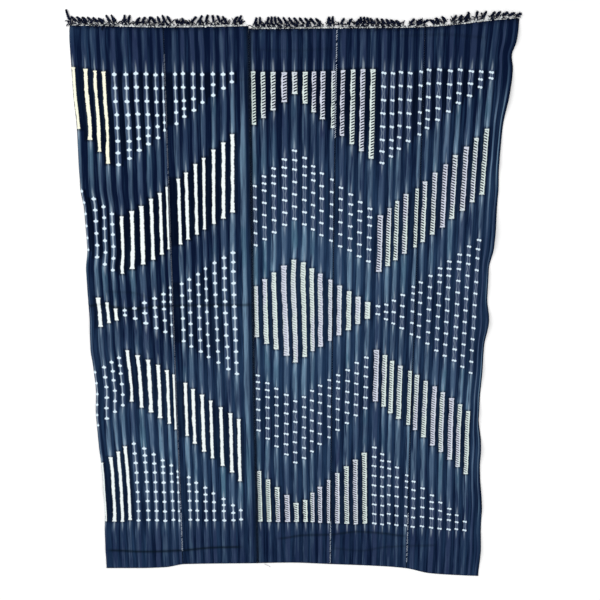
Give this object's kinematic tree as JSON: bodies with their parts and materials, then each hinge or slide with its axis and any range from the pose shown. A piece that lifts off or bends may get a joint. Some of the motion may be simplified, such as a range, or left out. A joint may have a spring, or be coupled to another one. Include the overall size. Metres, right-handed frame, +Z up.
{
  "type": "indigo adire wrapper cloth",
  "caption": "Narrow-strip handwoven cotton wrapper cloth, sewn edge to edge, indigo dyed with resist bars and dots, fringed at one end.",
  "frame": {"origin": "on the surface that the cloth lies on, under the middle of its outline", "axes": "+X across the strips to the right, +Y along the warp towards the fringed end, +Z up from the surface"},
  "size_m": [1.1626, 1.6388, 0.0094],
  "materials": {
    "indigo_cotton": "matt handwoven cotton, warp striped in dark and light indigo, with undyed resist marks",
    "twisted_yarn": "matt twisted cotton yarn dyed near black, pale where it was tied"
  },
  "bodies": {
    "root": {"strip_1": "indigo_cotton", "strip_2": "indigo_cotton", "strip_3": "indigo_cotton", "strip_4": "indigo_cotton", "strip_5": "indigo_cotton", "fringe_1": "twisted_yarn", "fringe_2": "twisted_yarn", "fringe_3": "twisted_yarn", "fringe_4": "twisted_yarn", "fringe_5": "twisted_yarn"}
  },
  "joints": []
}
